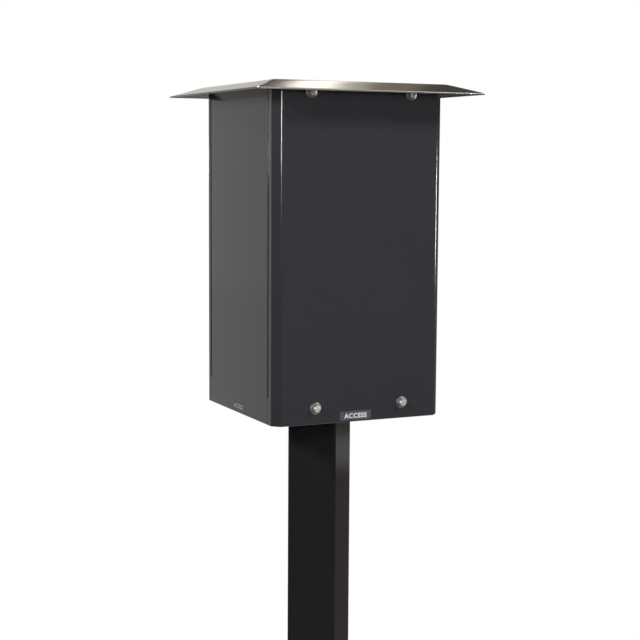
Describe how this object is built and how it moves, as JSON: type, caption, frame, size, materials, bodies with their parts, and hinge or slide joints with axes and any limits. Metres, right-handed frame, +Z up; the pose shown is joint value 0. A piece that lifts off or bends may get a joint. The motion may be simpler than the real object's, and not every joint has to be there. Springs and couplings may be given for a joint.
{
  "type": "keypad access reader",
  "caption": "Post-mounted keypad access reader: square sheet-metal housing with screwed service cover, sloping stainless rain roof, swivel flange and floor post.",
  "frame": {"origin": "on the floor, on the post's axis, under the middle of the base plate", "axes": "+Z up along the post; the service cover faces -Y, the keypad reader faces +Y, the slitted side walls face -X and +X"},
  "size_m": [0.372, 0.372, 1.308],
  "materials": {
    "post_coat": "black powder coat, semi-gloss",
    "powder_coat": "anthracite powder coat, fine orange peel, satin",
    "roof_steel": "brushed stainless sheet",
    "bezel_steel": "vertical brushed stainless",
    "fastener_steel": "bright stainless",
    "zinc_steel": "zinc plated",
    "key_metal": "brushed, dark engraved legends",
    "seal_rubber": "matt",
    "black_plastic": "moulded, fine grain",
    "cable_jacket": "satin jacket",
    "grey_plastic": "moulded",
    "plunger_plastic": "moulded",
    "circuit_board": "green solder mask",
    "light_lens": "frosted light guide"
  },
  "bodies": {
    "post": {"base_plate": "post_coat", "post_tube": "post_coat", "swivel_flange": "post_coat"},
    "head": {"floor_pan": "powder_coat", "left_side_panel": "powder_coat", "right_side_panel": "powder_coat", "front_cover": "powder_coat", "front_frame": "powder_coat", "reader_panel": "powder_coat", "rear_frame": "powder_coat", "top_pan": "powder_coat", "roof": "roof_steel", "reader_bezel": "bezel_steel", "cover_screw_1": "fastener_steel", "cover_screw_2": "fastener_steel", "cover_screw_3": "fastener_steel", "cover_screw_4": "fastener_steel", "cover_washer_1": "fastener_steel", "cover_washer_2": "fastener_steel", "cover_washer_3": "fastener_steel", "cover_washer_4": "fastener_steel", "swivel_bolt_1": "fastener_steel", "swivel_bolt_2": "fastener_steel", "swivel_bolt_3": "fastener_steel", "reader_screw_lower": "fastener_steel", "reader_screw_upper": "fastener_steel", "clamp_ring": "zinc_steel", "centre_spigot": "zinc_steel", "mounting_plate": "zinc_steel", "din_rail": "zinc_steel", "cover_gasket": "seal_rubber", "rear_gasket": "seal_rubber", "reader_gasket": "seal_rubber", "keypad_mat": "seal_rubber", "reader_back_box": "black_plastic", "proximity_window": "black_plastic", "buzzer": "black_plastic", "tamper_switch": "black_plastic", "reader_harness": "cable_jacket", "power_supply": "grey_plastic", "controller_module": "grey_plastic", "relay_module": "grey_plastic", "terminal_block": "grey_plastic", "reader_board": "circuit_board", "status_light_lens": "light_lens"},
    "key_1": {"key_1": "key_metal"},
    "key_2": {"key_2": "key_metal"},
    "key_3": {"key_3": "key_metal"},
    "key_4": {"key_4": "key_metal"},
    "key_5": {"key_5": "key_metal"},
    "key_6": {"key_6": "key_metal"},
    "key_7": {"key_7": "key_metal"},
    "key_8": {"key_8": "key_metal"},
    "key_9": {"key_9": "key_metal"},
    "key_star": {"key_star": "key_metal"},
    "key_0": {"key_0": "key_metal"},
    "key_hash": {"key_hash": "key_metal"},
    "tamper_plunger": {"tamper_plunger": "plunger_plastic"}
  },
  "joints": [
    {"name": "head_swivel", "type": "hinge", "parent": "post", "child": "head", "pos_m": [0, 0, 0.8], "axis": [0, 0, 1], "range_deg": [-45, 45]},
    {"name": "key_1_press", "type": "slide", "parent": "head", "child": "key_1", "axis": [0, -1, 0], "range_m": [0, 0.0015], "stiffness_N_per_m": 900, "springref_m": -0.0008},
    {"name": "key_2_press", "type": "slide", "parent": "head", "child": "key_2", "axis": [0, -1, 0], "range_m": [0, 0.0015], "stiffness_N_per_m": 900, "springref_m": -0.0008},
    {"name": "key_3_press", "type": "slide", "parent": "head", "child": "key_3", "axis": [0, -1, 0], "range_m": [0, 0.0015], "stiffness_N_per_m": 900, "springref_m": -0.0008},
    {"name": "key_4_press", "type": "slide", "parent": "head", "child": "key_4", "axis": [0, -1, 0], "range_m": [0, 0.0015], "stiffness_N_per_m": 900, "springref_m": -0.0008},
    {"name": "key_5_press", "type": "slide", "parent": "head", "child": "key_5", "axis": [0, -1, 0], "range_m": [0, 0.0015], "stiffness_N_per_m": 900, "springref_m": -0.0008},
    {"name": "key_6_press", "type": "slide", "parent": "head", "child": "key_6", "axis": [0, -1, 0], "range_m": [0, 0.0015], "stiffness_N_per_m": 900, "springref_m": -0.0008},
    {"name": "key_7_press", "type": "slide", "parent": "head", "child": "key_7", "axis": [0, -1, 0], "range_m": [0, 0.0015], "stiffness_N_per_m": 900, "springref_m": -0.0008},
    {"name": "key_8_press", "type": "slide", "parent": "head", "child": "key_8", "axis": [0, -1, 0], "range_m": [0, 0.0015], "stiffness_N_per_m": 900, "springref_m": -0.0008},
    {"name": "key_9_press", "type": "slide", "parent": "head", "child": "key_9", "axis": [0, -1, 0], "range_m": [0, 0.0015], "stiffness_N_per_m": 900, "springref_m": -0.0008},
    {"name": "key_star_press", "type": "slide", "parent": "head", "child": "key_star", "axis": [0, -1, 0], "range_m": [0, 0.0015], "stiffness_N_per_m": 900, "springref_m": -0.0008},
    {"name": "key_0_press", "type": "slide", "parent": "head", "child": "key_0", "axis": [0, -1, 0], "range_m": [0, 0.0015], "stiffness_N_per_m": 900, "springref_m": -0.0008},
    {"name": "key_hash_press", "type": "slide", "parent": "head", "child": "key_hash", "axis": [0, -1, 0], "range_m": [0, 0.0015], "stiffness_N_per_m": 900, "springref_m": -0.0008},
    {"name": "tamper_plunger_press", "type": "slide", "parent": "head", "child": "tamper_plunger", "axis": [0, 1, 0], "range_m": [0, 0.0015], "stiffness_N_per_m": 300, "springref_m": -0.0025}
  ]
}
